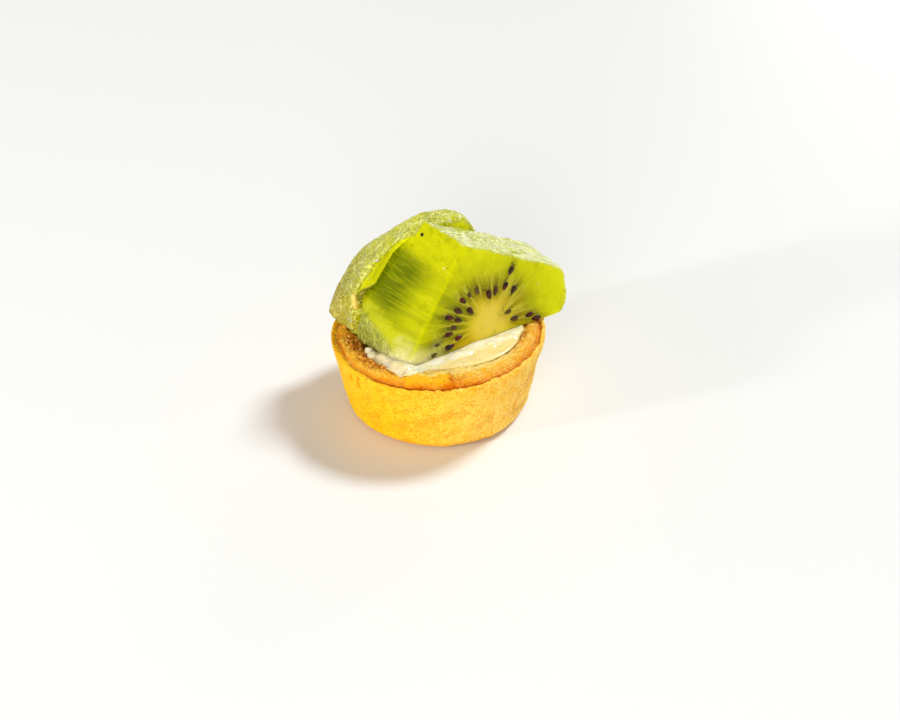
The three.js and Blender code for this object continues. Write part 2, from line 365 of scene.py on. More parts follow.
# Colour and height of kiwi flesh: a pale core, dark pockets crossed by pale rays, and bright outer flesh
def makeFleshGroup():
    given = newGroup("kiwiFlesh", {**coreInputs, "Pocket": 0.0, "Band": 0.0, "Shaded": 0.0, "Golden": 0.0})
    where = given["Vector"]
    polar = useGroup(coreSpace, {key: given[key] for key in coreInputs})
    radius, along = times(polar["Radius"], 1.0 / mm), times(polar["Along"], 1.0 / mm)

    # noise that changes at one pace round the core, at another along it and at a third away from it
    def drawn(roundCore, alongCore, outward, detail):
        drift = joined(0.0, times(along, alongCore), times(radius, outward))
        return noiseAt(vector("ADD", scaled(polar["Turn"], roundCore), drift), 1.0, detail, 0.6)

    streak, fine = drawn(9.0, 0.05, 0.10, 3.0), drawn(34.0, 0.16, 0.30, 2.0)
    cloud = noiseAt(where, 330.0, 3.0, 0.60)
    wander = plus(radius, times(minus(streak, 0.5), 3.0))
    wander = plus(wander, times(minus(cloud, 0.5), 1.6))
    # from the core outwards: positions are shares of the outermost radius, 24 mm
    base = rampOf(calc("DIVIDE", wander, 24.0), [
        (0.00, 222, 202, 84), (0.17, 219, 198, 70), (0.23, 208, 187, 40), (0.28, 184, 166, 14),
        (0.34, 160, 148, 8), (0.42, 156, 152, 6), (0.50, 172, 173, 3), (0.58, 190, 193, 1),
        (0.70, 202, 205, 1), (1.00, 210, 213, 2)])
    # pockets round the seeds, speckled and crossed by pale rays that run out from the core
    ray = times(times(remap(streak, 0.50, 0.60), remap(radius, 4.0, 6.0)), remap(radius, 15.0, 9.5))
    speckle = remap(noiseAt(where, 1500.0, 2.0, 0.7), 0.62, 0.40, 0.45, 1.15)
    pocket = times(times(given["Pocket"], remap(cloud, 0.30, 0.62, 0.65, 1.0)), speckle)
    pocket = times(calc("MINIMUM", pocket, 1.0), minus(1.0, times(ray, 0.9)))
    colour = paint(base, [
        # paler and deeper clouds in the flesh
        (remap(cloud, 0.50, 0.70), 0.28, (226, 228, 20)),
        (remap(cloud, 0.46, 0.30), 0.45, (162, 170, 0)),
        # painted shade: darker green where Shaded is set, with streaks that run out from the core
        (given["Shaded"], remap(streak, 0.58, 0.42, 0.40, 1.0), (138, 144, 2)),
        # the darker layer with painted shade, streaked along the fruit
        (given["Band"], remap(fine, 0.66, 0.40, 0.703, 0.95), (94, 110, 0)),
        (remap(fine, 0.50, 0.70), 0.11, (226, 228, 24)),
        (pocket, 0.95, (64, 64, 12)),
        (ray, 0.45, (206, 200, 72)),
        # golden where the flesh near the core thins out over the cream
        (given["Golden"], 0.75, (206, 170, 14))])
    height = minus(plus(times(fine, 0.6), times(ray, 0.5)), times(given["Pocket"], 0.8))
    # painted highlights: tiny white dots, as of beads of juice that catch the light
    return closeGroup({"Colour": colour, "Height": height, "Glints": dotsAt(where, 900.0, 0.80, 0.09)})


# Where the skin was pared off: juicy grains and fine strokes that run round the fruit, under pale clouds of
# frost and painted sheen
def makePeelGroup():
    given = newGroup("paredFlesh", {**coreInputs, "Brink": 0.0})
    where = given["Vector"]
    polar = useGroup(coreSpace, {key: given[key] for key in coreInputs})
    along = joined(0.0, 0.0, polar["Along"])
    # the fruit is about 18 mm in radius: turned at half or about a quarter of that, marks grow long round it
    turned, farTurned = (vector("ADD", scaled(polar["Turn"], reach), along) for reach in (0.0090, 0.0050))
    # near the fruit's own line, where turned marks would meet in a star, plain ones take over
    plain = scaled(where, 0.7)
    away = remap(polar["Radius"], 0.0060, 0.0120)

    def marks(make):
        return mixValue(away, make(plain), make(turned))

    # a net of pale threads round long cells, pushed about by noise
    def netOver(spot):
        push = put("TexNoise", {"Vector": spot, "Scale": 800.0, "Detail": 2.0}).outputs["Color"]
        spot = vector("ADD", spot, scaled(push, 0.0009))
        net = put("TexVoronoi", {"Vector": spot, "Scale": 1600.0}, feature="DISTANCE_TO_EDGE")
        return net.outputs["Distance"]

    def grainsOver(spot):
        inputs = {"Vector": spot, "Scale": 1300.0, "Smoothness": 0.6}
        return put("TexVoronoi", inputs, feature="SMOOTH_F1").outputs["Distance"]

    beads = remap(marks(grainsOver), 0.75, 0.0)
    veil = marks(lambda spot: noiseAt(spot, 420.0, 4.0, 0.65))
    fine = marks(lambda spot: noiseAt(spot, 2300.0, 3.0, 0.6))
    threads = times(remap(marks(netOver), 0.21, 0.04), remap(veil, 0.34, 0.56, 0.45, 1.0))
    lines = remap(noiseAt(farTurned, 1500.0, 3.0, 0.6, 0.3), 0.54, 0.66)
    threads = calc("MAXIMUM", threads, times(lines, away))
    # painted highlights: white glints along the brink where the pared face meets a cut
    glints = remap(plus(fine, times(given["Brink"], 0.24)), 0.75, 0.78)
    clouds = noiseAt(where, 300.0, 3.0, 0.6)
    return closeGroup({"Fibres": threads, "Height": plus(beads, times(threads, 1.3)), "Clouds": clouds,
                       "FrostAndSheen": remap(veil, 0.46, 0.62), "Glints": glints})


bakedGrain = makeGrainGroup()
coreSpace = makeCoreGroup()
kiwiFlesh = makeFleshGroup()
paredFlesh = makePeelGroup()
print("node groups ready")


cup = dict(
    height=19.2, foot=21.8, footRound=3.1, mouth=17.3, groove=24.0, lean=0.037, columns=520,
    # radius and height up the wall from its foot, then out over the rim, where height is over the cup's own
    wall=[[22.55, 6.5], [23.35, 10.5], [24.1, 14.0], [24.85, 17.2], [25.0, 18.4], [24.95, 19.05]],
    rim=np.array([[17.3, -0.35], [18.1, 0.0], [19.2, 0.15], [20.4, 0.2], [20.9, 0.22], [21.6, 0.28],
                  [22.2, 0.28], [22.9, 0.15], [23.5, -0.25], [24.0, -0.7], [24.35, -0.25], [24.65, 0.0],
                  [24.95, -0.15]]),
    # radius and height down the inside to the middle of the floor
    inside=[[16.8, 16.2], [16.1, 11.0], [14.7, 5.6], [13.8, 3.6], [7.0, 3.6], [0.0, 3.6]],
    # azimuths and heights of the swell, the sunk stretch, the bay in the mouth and the flake
    swellAt=-70.0, swell=0.65, sunkAt=180.0, sunk=1.7, bayAt=-15.0, bay=1.8, frontLip=0.75,
    flakeFrom=-112.0, flakeTo=-82.0, flakeRadius=20.6, flakeHeight=1.05,
    # the left of the ring is brown and crumbly, and its groove runs a little further in
    brownAt=-158.0, broadAt=-172.0, crumb=0.15, brownCrumb=0.42,
    # azimuth, bottom and top of each hair crack, and place, strength and width of each dark spot
    cracks=[[-139.5, 13.6, 17.6], [-145.5, 14.6, 17.0]],
    spots=[[5.1, -22.0, 1.0, 0.8], [5.9, -21.0, 0.8, 0.5]],
)


def azimuthOf(theta):
    return (np.degrees(theta) + 180.0) % 360.0 - 180.0


# How far the mouth is wider on the right and narrower in front
def bayOf(radius, theta, height):
    nearMouth = ease(height, 9.0, cup["height"] - 1.0) * ease(radius, 21.5, 18.5)
    wider = cup["bay"] * facing(theta, cup["bayAt"], 3)
    narrower = cup["frontLip"] * ease(height, 15.0, 18.0) * facing(theta, -78.0, 14)
    return nearMouth * ease(radius, 12.0, 16.0) * (wider - narrower)


# The raised flake and the painted highlight along its edge: 1 on it, easing to 0 at its ragged inner side and
# broken right end
def flakeOf(radius, theta):
    azimuth = azimuthOf(theta) + 1.2 * np.sin(radius * 4.0)
    start, end = cup["flakeFrom"], cup["flakeTo"]
    along = ease(azimuth, start, start + 4.0) * ease(azimuth, end, end - 1.2)
    edge = cup["flakeRadius"] - 0.6 * bell(azimuth, end - 4.0, 5.0)
    edge = edge + 0.30 * np.sin(azimuth * 0.45) + 0.18 * np.sin(azimuth * 1.3)
    flake = along * ease(radius, edge - 0.30, edge) * ease(radius, cup["groove"], 23.2)
    return flake, along * bell(radius, edge + 0.45, 0.40)


# Height added to the ring: a swell in front, a sunk stretch on the left and a raised flake
def ringLift(radius, theta):
    onRing = ease(radius, 16.0, 18.5) * ease(radius, cup["groove"], 22.8)
    swell = cup["swell"] * onRing * facing(theta, cup["swellAt"], 1)
    sunk = cup["sunk"] * ease(radius, 21.8, 17.0) * facing(theta, cup["sunkAt"], 2)
    return swell - sunk + cup["flakeHeight"] * flakeOf(radius, theta)[0]


# Height of the crust's upper side over a place on the ground plan
def rimTop(x, y):
    radius, theta = np.hypot(x, y), np.arctan2(y, x)
    bay = bayOf(np.minimum(radius, 18.5), theta, cup["height"])
    line = np.interp(radius - bay * ease(radius, 23.0, 18.5), *cup["rim"].T)
    return cup["height"] + line + ringLift(radius, theta) + cup["lean"] * x


# Points of a smooth line through given points, spread by share: four-point (Catmull-Rom) blends
def smoothLine(points, count):
    p = np.array(points, float)
    p = np.concatenate([2 * p[:1] - p[1:2], p, 2 * p[-1:] - p[-2:-1]])
    steps = np.linalg.norm(np.diff(p[1:-1], axis=0), axis=1)
    at = np.concatenate([[0.0], np.cumsum(steps)]) / steps.sum()
    share = np.linspace(0.0, 1.0, count)
    k = np.clip(np.searchsorted(at, share, side="right") - 1, 0, len(steps) - 1)
    t = ((share - at[k]) / (at[k + 1] - at[k]))[:, None]
    a, b, c, d = p[k], p[k + 1], p[k + 2], p[k + 3]
    return 0.5 * (2 * b + (c - a) * t + (2 * a - 5 * b + 4 * c - d) * t**2 + (3 * b - a - 3 * c + d) * t**3)


# The cup's section from the middle of its underside out, up its wall, over its rim and down its inside
def cupProfile():
    turns = np.radians(np.arange(0.0, 91.0, 15.0))
    footX = cup["foot"] + cup["footRound"] * (np.sin(turns) - 1.05)
    foot = np.stack([footX, cup["footRound"] * (1.0 - np.cos(turns))], -1)
    under = [[0.0, 0.0], [6.0, 0.0], [12.0, 0.0], [16.0, 0.0]]
    rim = smoothLine(cup["rim"][::-1] + np.array([0.0, cup["height"]]), 78)
    return np.concatenate([under, smoothLine([*foot, *cup["wall"]], 84), rim[1:], cup["inside"]])


# Radius and height of a section at every column
def turnedRound(section, columns):
    return (np.repeat(section[:, k:k + 1], columns, axis=1) for k in (0, 1))


# Hair cracks near the rim, a little slanted and unsteady
def cracksOn(grid, azimuth, radius, height):
    crack = np.zeros_like(radius)
    for crackAt, bottom, top in cup["cracks"]:
        away = azimuth - crackAt + 1.3 * noise(grid, 0.9, 8) - 0.5 * (height - bottom)
        stretch = ease(height, bottom, bottom + 0.8) * ease(height, top + 1.2, top) * ease(radius, 22.4, 23.2)
        crack = np.maximum(crack, bell(away, 0.0, 0.8) * stretch)
    return crack


def makeCup(material):
    h, columns = cup["height"], cup["columns"]
    profile = cupProfile()
    radius, height = turnedRound(profile, columns)
    theta = np.broadcast_to(np.arange(columns) * 2 * math.pi / columns, radius.shape)
    azimuth = azimuthOf(theta)
    wobble = 0.12 * np.sin(3 * theta) * ease(height, 6.0, 14.0) * ease(radius, 20.0, 24.0)
    reach = radius + bayOf(radius, theta, height) + wobble
    x = np.cos(theta) * reach
    lift = ease(height, 12.0, 17.0) * ringLift(radius, theta)
    grid = np.stack([x, np.sin(theta) * reach, height + lift + cup["lean"] * x * height / h], -1)
    shell = ease(radius, 12.0, 14.0) * np.where(height < 1.0, ease(height, 0.0, 0.6), 1.0)
    onRing = ease(height, h - 1.6, h - 0.7) * ease(radius, 24.8, 24.35)
    onEdge = ease(height, h - 1.2, h - 0.6)
    left = facing(theta, cup["brownAt"], 3) * onRing * ease(radius, 22.8, 20.6)
    # the groove wanders, fades where the ring is crumbly and is deepest in front
    depth = 0.45 + 0.55 * np.maximum(bell(azimuth, -92.0, 34.0), bell(azimuth, -172.0, 24.0))
    depth = np.maximum(depth, 0.8 * bell(azimuth, -35.0, 30.0)) * (0.8 + 0.5 * noise(grid, 2.0, 10))
    # on the left it lies further in, and the lip outside it is broad
    broad = facing(theta, cup["broadAt"], 3)
    wander = radius + 0.22 * noise(grid, 1.6, 5) + 0.12 * noise(grid, 0.6, 11) + 0.60 * broad
    groove = depth * bell(wander, cup["groove"] - 0.10, 0.28) * onRing
    grooveShade = depth * bell(wander, cup["groove"] - 0.15, 0.42) * onRing
    crack = cracksOn(grid, azimuth, radius, height)
    near, after = cells(grid, 0.95, 3)
    lumps = ease(after - near, 0.0, 0.45)
    # long low folds run slanting up the wall
    slanted = np.stack([grid[..., 0] / 3.2, grid[..., 1] / 3.2, grid[..., 2] - 0.5 * grid[..., 0]], -1)
    folds = layered(slanted, 2.6, 15, 2) * ease(azimuth, -125.0, -85.0)
    relief = 0.16 * noise(grid, 8.0, 1) + 0.09 * layered(grid, 2.0, 2) + 0.05 * layered(grid, 0.8, 4)
    relief = shell * (relief + 0.20 * folds * (1.0 - onRing))
    relief += 0.22 * layered(grid, 1.3, 16, 2) * bell(radius, 24.4, 0.55) * onEdge
    relief += onRing * cup["crumb"] * (0.7 * lumps - 0.5 + layered(grid, 1.1, 6))
    relief += left * cup["brownCrumb"] * (layered(grid, 1.4, 7) + 0.6 * (lumps - 0.7))
    relief += 0.50 * onRing * broad * bell(radius, cup["groove"], 0.36)
    relief -= 0.26 * groove + 0.55 * crack
    relief *= ease(radius, 0.0, 13.0)
    grid = grid + gridNormals(grid) * relief[..., None]
    grid[..., 2] = np.maximum(grid[..., 2], 0.0)
    flake, ledgeHighlight = (part * onRing for part in flakeOf(radius, theta))
    # painted light: the thin lip on the left, in the fruit's shade, is painted as bright as the flake
    lipLight = facing(theta, cup["broadAt"], 2) * onEdge * bell(radius, 24.35, 0.50)
    # painted shade in the notch where the flake's end has broken off, and a dark spot beside it
    notchShade = bell(azimuth, cup["flakeTo"] + 0.8, 2.0) * ease(radius, 20.0, 20.8)
    spot = np.max([strength * bell(np.hypot(grid[..., 0] - spotX, grid[..., 1] - spotY), 0.0, width)
                   for spotX, spotY, strength, width in cup["spots"]], axis=0)
    # painted shade in the groove, the hair cracks and the notch, together with the dark spots
    dark = np.clip(grooveShade + crack + (notchShade + 0.9 * spot) * onRing, 0.0, 1.0)
    brownAndShade = np.clip(left * ease(noise(grid, 2.2, 12), -0.85, 0.05), 0.0, 1.0)
    # painted shade: the ring's inside under the fruit's overhang on the right is painted brown too
    brownAndShade = np.maximum(brownAndShade, 0.8 * facing(theta, -3.0, 12) * onRing * ease(radius, 22.0, 20.0))
    # the ring is toasted more towards the groove, and paler inside the flake and along the front
    toasted = 0.75 * onRing * ease(radius, 21.0, 23.4) * (1.0 - 0.8 * facing(theta, -170.0, 2))
    paleInner = onRing * ease(radius, 20.8, 19.6) * facing(theta, -72.0, 2) * (1.0 - brownAndShade)
    fields = {"ring": onRing, "groove": dark, "brownAndShade": brownAndShade, "paleInner": paleInner, "ledgeHighlight": ledgeHighlight,
              "flake": np.maximum(flake, lipLight), "hollowShade": np.clip(0.5 - relief * 3.0, 0.0, 1.0),
              "toasted": np.clip(toasted, 0.0, 1.0)}
    return skin("pastryCup", grid, material, "crust", fields)


def makeCrustMaterial():
    material, tree, bsdf = newMaterial("bakedCrust")
    where = place(tree)
    grain = useGroup(bakedGrain, {"Vector": where, "Grain": 2100.0, "Pores": 0.75})
    crumb = useGroup(bakedGrain, {"Vector": where, "Grain": 2700.0, "Pores": 0.5})
    ring, brownAndShade, hollowShade = (field(tree, name) for name in ("ring", "brownAndShade", "hollowShade"))
    axes = put("SeparateXYZ", {0: where}).outputs
    # painted light: the wall, the ring and their flecks are paler and whiter towards the right, where the
    # light falls, and deeper yellow on the left
    lightToRight = remap(axes[0], -0.016, 0.024)
    flecked = mixColour(lightToRight, (255, 220, 44), (255, 232, 130))
    wall = paint(mixColour(lightToRight, (255, 197, 2), (255, 212, 100)), [
        (remap(axes[2], 0.006, 0.019), 0.45, (252, 192, 44)),
        (remap(grain["Patches"], 0.46, 0.64), 0.50, (250, 176, 2)),
        (remap(grain["Patches"], 0.46, 0.32), 0.40, flecked),
        # painted shade: darker orange in the hollows of the relief
        (remap(hollowShade, 0.60, 1.00), 0.50, (228, 148, 14)),
        (grain["Flecks"], 0.75, flecked),
        (grain["Specks"], 0.70, (228, 142, 2))])
    top = paint(mixColour(lightToRight, (255, 208, 70), (255, 222, 112)), [
        (remap(crumb["Patches"], 0.40, 0.64), 1.0, (252, 186, 26)),
        (field(tree, "toasted"), remap(crumb["Flecks"], 0.0, 1.0, 0.95, 0.55), (240, 150, 6)),
        # painted shade: darker orange in the hollows of the relief
        (remap(hollowShade, 0.56, 1.00), 0.50, (236, 150, 8)),
        (field(tree, "paleInner"), 0.55, (255, 230, 150)),
        (crumb["Flecks"], remap(lightToRight, 0.0, 0.8, 0.35, 0.65), (255, 240, 150)),
        (crumb["Specks"], 0.60, (232, 142, 10))])
    colour = paint(mixColour(ring, wall, top), [
        # the flake, with the painted light on the left lip
        (field(tree, "flake"), 0.75, (255, 190, 8)),
        # painted highlight: a bright rim along the flake's edge
        (field(tree, "ledgeHighlight"), 0.85, (255, 236, 140)),
        # browned crumbly crust on the left, and painted shade under the fruit on the right
        (brownAndShade, 0.45, (250, 164, 30)),
        (brownAndShade, remap(noiseAt(where, 800.0, 3.0, 0.6), 0.38, 0.58), (184, 96, 8)),
        # painted shade in the groove, the cracks and the notch
        (field(tree, "groove"), remap(crumb["Flecks"], 0.0, 1.0, 0.90, 0.45), (226, 122, 2)),
        (grain["Pores"], remap(ring, 0.0, 1.0, 0.6, 0.1), (206, 118, 8)),
        # painted shade: darker orange at the very foot, where the cup meets the floor
        (remap(axes[2], 0.0024, 0.0002), 0.45, (226, 138, 14)),
        # painted highlights: a few tiny white glints, more of them towards the lit right
        (times(dotsAt(where, 420.0, 0.84, 0.06), 0.8), lightToRight, (255, 252, 238))])
    coarse = bump(grain["Height"], 0.00030)
    feed(bsdf, {"Base Color": colour, "Roughness": remap(grain["Patches"], 0.3, 0.7, 0.50, 0.75),
                "Specular IOR Level": 0.15, "Subsurface Weight": 0.15, "Subsurface Radius": (1.0, 0.5, 0.10),
                "Subsurface Scale": 0.0010, "Normal": bump(times(crumb["Height"], ring), 0.00025, coarse)})
    return material


pastryCup = makeCup(makeCrustMaterial())
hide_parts("pastry_shell")
print("pastry cup:", len(pastryCup.data.polygons), "faces")


cream = dict(
    # height of its level and slope along x and y, then how it sinks, rounds over and rises against the fruit
    base=18.9, alongX=0.080, alongY=-0.074, sink=0.12, roundOver=1.7, ribbon=0.55, bank=1.05,
    columns=420, topRows=90, dabColumns=48, dabRows=30,
    # radius and height of the side from the middle of the floor up the cup's wall
    side=[[0.0, 3.65], [7.0, 3.65], [13.6, 3.65], [14.55, 5.65], [15.95, 11.0], [16.4, 14.2], [16.45, 17.6]],
    # azimuth and radius of the edge: over the ring in front on the left, behind the ring elsewhere
    outline=[[-180, 16.6], [-165, 16.6], [-156, 17.2], [-151, 18.0], [-146, 18.2], [-140, 18.9], [-133, 19.3],
             [-127, 19.7], [-122, 20.2], [-117, 20.9], [-113, 21.9], [-110, 22.3], [-106, 22.3], [-103, 21.5],
             [-100.5, 19.6], [-98.5, 17.7], [-94, 17.3], [-88, 17.0], [-80, 16.7], [-72, 16.5], [-63, 16.6],
             [-55, 17.0], [-47, 17.7], [-38, 18.2], [-30, 18.5], [-20, 18.9], [-13, 19.6], [-6, 20.4],
             [2, 20.0], [10, 18.6], [20, 17.2], [40, 16.6], [90, 16.6], [150, 16.6], [180, 16.6]],
    # x, y, height and width of each lump: two on the ribbon, and a few on the left
    lumps=[[12.3, -8.6, 0.75, 1.0], [4.6, -11.6, 0.65, 0.9], [-9.8, -15.2, 0.5, 1.4],
           [-6.8, -18.2, 0.45, 1.2], [-5.4, -17.4, 0.5, 0.7], [-7.9, -20.9, 0.5, 0.6]],
    # middle and half sizes of the small dabs squeezed out on the left
    dabs=[[[-16.1, -8.0, 18.75], [0.95, 1.05, 0.75]], [[-15.1, -9.8, 18.6], [1.15, 1.45, 0.70]]],
)


def bedHeight(x, y):
    return cream["base"] + cream["alongX"] * x + cream["alongY"] * y


def makeCream(material):
    columns = cream["columns"]
    theta = np.arange(columns) * 2 * math.pi / columns - math.pi
    azimuth, ways = np.degrees(theta), np.array([np.cos(theta), np.sin(theta)])
    edge = np.interp(azimuth, *np.array(cream["outline"]).T)
    edge = edge + 0.10 * np.sin(theta * 37.0) * facing(theta, -118.0, 8)
    # on the right it fills the crust's bay right out to the ring
    mouth = cup["mouth"] + bayOf(cup["mouth"], theta, cup["height"])
    toBay = ease(azimuth, -98.0, -88.0) * ease(azimuth, 0.0, -8.0)
    edge = edge + toBay * (np.maximum(edge, mouth + 0.65) - edge)
    radius, height = turnedRound(np.array(cream["side"]), columns)
    radius = radius + bayOf(radius, theta, height)
    # under the overhang from the wall out to the edge, just over the crust
    out = np.linspace(0.0, 1.0, 9)[1:, None]
    under = radius[-1] + (edge - radius[-1]) * out
    x, y = under * ways[0], under * ways[1]
    onCrust = np.where(under > 17.0, rimTop(x, y) + 0.03, cup["height"] - 0.9 + cup["lean"] * x)
    # the top from the edge in to the middle
    topRadius = edge * (1.0 - np.linspace(0.0, 1.0, cream["topRows"])[1:, None]) ** 1.4
    x, y = topRadius * ways[0], topRadius * ways[1]
    flat = np.stack([x, y, np.zeros_like(x)], -1)
    level = bedHeight(x, y) - cream["sink"]
    overRing = -softMin([-level, -rimTop(x, y) - 0.50], 0.15)
    level = np.where(topRadius > 16.0, overRing, level) + 0.10 * noise(flat, 4.0, 21)
    level += 0.16 * layered(flat, 1.7, 22) * facing(theta, -120.0, 6) * ease(topRadius, 15.0, 17.0)
    # a full ribbon lies against the seeded face: half an ellipse in section, uneven along its length
    face = (np.stack([x, y, level], -1) - front["middle"]) @ axis - front["seeded"][2]
    uneven = face + 0.45 * noise(flat, 2.2, 25)
    ribbon = np.sqrt(np.clip(1.0 - ((uneven - 1.4) / 2.2) ** 2, 0.0, 1.0))
    ribbon *= ease(x, 1.0, 8.0) * ease(x, 21.5, 19.5)
    level += ribbon * cream["ribbon"] * (1.0 + 0.35 * noise(flat, 3.0, 23))
    # a bank against the pared side on the left, where cream is squeezed out
    bankAt, bankUp, bankReach = front["peeled"][3]
    beyond = (np.stack([x, y, level], -1) - front["middle"]) @ heading(bankAt, bankUp) - bankReach
    bank = ease(beyond, -3.4, -1.5) * ease(beyond + 0.5 * noise(flat, 2.4, 26), 2.6, 1.0)
    bank *= ease(azimuth, -154.0, -138.0) * ease(azimuth, -102.0, -116.0)
    level += bank * cream["bank"] * (1.0 + 0.25 * noise(flat, 2.2, 27))
    for lumpX, lumpY, lumpHeight, lumpWidth in cream["lumps"]:
        level += lumpHeight * bell(np.hypot(x - lumpX, y - lumpY), 0.0, lumpWidth)
    # its edge rounds over in a quarter of an ellipse
    room = edge - topRadius
    share = np.clip(room / cream["roundOver"], 0.0, 1.0)
    top = onCrust[-1] + (level - onCrust[-1]) * np.sqrt(1.0 - (1.0 - share) ** 2)
    radius = np.concatenate([radius, under, topRadius])
    grid = np.stack([radius * ways[0], radius * ways[1], np.concatenate([height, onCrust, top])], -1)
    # where the cream is thin the crust or the fruit shows through
    film = ease(uneven, 2.9, 3.5) * ease(x, -4.0, 3.0)
    thinned = np.clip(1.0 - room / 1.6, 0.0, 1.0) * (1.0 - 0.8 * facing(theta, -122.0, 14))
    thin = np.ones_like(radius)
    thin[-len(room):] = np.max([thinned, 0.8 * film, 0.3 * bank], axis=0)
    return skin("custardCream", grid, material, "cream", {"thin": thin})


# Small dabs on the left: flattened balls whose radius swells and shrinks with noise
def makeDab(name, material, middle, size, seed):
    ball = ballGrid(cream["dabRows"], cream["dabColumns"])
    grid = np.array(middle) + ball * np.array(size) * (1.0 + 0.26 * noise(ball, 0.9, seed))[..., None]
    return skin(name, grid, material, "cream", {"thin": np.full(grid.shape[:2], 0.1)})


def makeCreamMaterial():
    material, tree, bsdf = newMaterial("custard")
    where = place(tree)
    clouds = noiseAt(where, 330.0)
    colour = mixColour(remap(clouds, 0.38, 0.66), (238, 232, 208), (234, 222, 178))
    feed(bsdf, {"Base Color": paint(colour, [(field(tree, "thin"), 0.85, (242, 212, 124))]),
                "Roughness": remap(clouds, 0.3, 0.7, 0.30, 0.42), "Specular IOR Level": 0.2,
                "Subsurface Weight": 0.6, "Subsurface Radius": (1.0, 0.8, 0.4), "Subsurface Scale": 0.0010,
                "Coat Weight": 0.7, "Coat Roughness": 0.09, "Normal": bump(noiseAt(where, 620.0), 0.0006)})
    return material


# A face is the azimuth, elevation and distance of its plane from the chunk's middle
front = dict(
    middle=np.array([9.0, 2.0, 28.0]), columns=420, rows=226,
    peelSoft=0.8, edgeSoft=0.30, wornSoft=0.60, blend=0.12, cutSoft=0.55,
    seeded=[-59, 10, 6.1],
    knife=[[-131.5, 36.3, 14.7], [120, 5, 10.6]],
    peeled=[[37, 62.6, 12.1], [31, 1.3, 20.7], [21.6, -43, 19.3], [-143.8, 9.6, 22.5]],
    seed=40, turnAt=-59.0, tiltAt=10.0,
    # azimuth, elevation and spread in degrees of spots with painted glints and a wetter coat
    shine=[[-137.4, 47.3, 1.6], [7.2, 7.0, 1.0], [-9.1, -4.4, 1.2], [-31.0, -39.0, 1.0], [-99.3, -31.1, 1.5],
           [-125.8, -15.4, 0.8]],
    brink=1.0,
)
back = dict(
    middle=np.array([-8.0, 12.0, 29.0]), columns=420, rows=226,
    peelSoft=0.9, edgeSoft=1.10, blend=0.40, cutSoft=0.80,
    seeded=None,
    knife=[[-60, -5, 6.60]],
    peeled=[[-143, 0, 17.0], [-150, 35, 19.1], [180, 0, 18.0], [180, 30, 11.3], [180, 60, 11.2],
            [150, 0, 16.0], [150, 35, 13.5], [120, 0, 8.3], [120, 35, 7.5], [120, 65, 13.7], [90, 0, 12.1],
            [90, 35, 10.5], [60, 0, 17.4], [60, 40, 17.4], [30, 0, 19.5], [30, 35, 18.7], [20, 18, 18.5],
            [0, 60, 21.0], [-60, 80, 15.1], [-82, 16, 13.1]],
    seed=60, turnAt=-60.0, tiltAt=-5.0,
    shine=[[-11.1, 52.4, 3.0], [-0.9, 47.6, 3.4], [-103.0, 46.0, 2.2], [-118.3, 34.0, 2.8],
           [-119.1, 25.5, 3.4], [-120.5, 15.5, 3.4], [-136.3, -22.8, 3.4]],
    brink=0.75,
)
# where the seeds' core comes out of the seeded face, and how far from there the pale core lies
coreLine = dict(across=-0.3, up=-5.9, paleAcross=-0.4, paleUp=0.8)
seeds = dict(
    length=2.4, width=1.4, depth=0.9, sunk=0.12, columns=22, rows=14,
    # angle and distance about the core on the seeded face, and how far flesh veils the seed
    places=[[-9, 12.4, 0.1], [-3, 10.5, 0.0], [-2, 6.3, 0.5], [22, 5.1, 0.8], [46, 9.7, 0.1], [61, 9.7, 0.0],
            [61, 13.5, 0.1], [76, 8.2, 0.4], [88, 7.7, 0.0], [106, 9.8, 0.9], [118, 10.2, 0.8],
            [129, 10.6, 0.0], [134, 7.2, 0.0], [143, 10.1, 0.2], [154, 11.8, 0.0], [155, 9.2, 0.1],
            [166, 9.9, 0.5], [174, 11.2, 0.0], [182, 14.3, 0.8], [183, 8.7, 0.0], [190, 11.4, 0.0],
            [190, 15.6, 0.9]],
    # angle and distance of dark pockets with no seed in sight
    pockets=[[36, 5.6], [8, 7.6], [98, 9.2]],
)

axis, across = heading(*front["seeded"][:2]), heading(front["seeded"][0] + 90.0)
upward = np.cross(axis, across)
coreAt = front["middle"] + axis * front["seeded"][2] + across * coreLine["across"] + upward * coreLine["up"]
fleshCore = coreAt + across * coreLine["paleAcross"] + upward * coreLine["paleUp"]
# the edge where the smooth cut meets the chunk's flat back: a point on it, its way, and outwards in the cut
bandWay, backWay = (heading(*face[:2]) for face in front["knife"])
edgeWay = np.cross(backWay, bandWay)
edgeWay /= np.linalg.norm(edgeWay)
reaches = np.array([face[2] for face in front["knife"]] + [0.0])
edgeAt = front["middle"] + np.linalg.solve(np.array([bandWay, backWay, edgeWay]), reaches)
edgeOut = np.cross(bandWay, edgeWay)
# how far it bulges at places along it, lowest first
edgeSwell = dict(runs=[-19.0, -17.5, -16.0, -14.9, -13.7, -12.6, -11.0, -8.0, -3.0, 0.0, 3.5],
                 sizes=[0.0, 0.7, 1.6, 2.3, 2.2, 1.25, 1.15, 1.6, 2.1, 1.5, 0.0], reach=2.6)
# upwards in the smooth cut, from the middle of it
bandAt, upOfBand = front["middle"] + bandWay * front["knife"][0][2], np.cross(bandWay, axis)
upOfBand /= np.linalg.norm(upOfBand)

custard = makeCreamMaterial()
custardCream = makeCream(custard)
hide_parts("custard_cream")
for number, (middle, size) in enumerate(cream["dabs"]):
    makeDab("creamDab" + str(number + 1), custard, middle, size, 31 + number)
print("custard cream and dabs ready")


# Distance along each direction to a plane: the plane's own distance over the cosine between them
def reachTo(ways, normal, distance):
    slope = ways @ normal
    return np.where(slope > 0.02, distance / np.maximum(slope, 0.02), 400.0)


def reachFaces(ways, faces):
    return [reachTo(ways, heading(face[0], face[1]), face[2]) for face in faces]


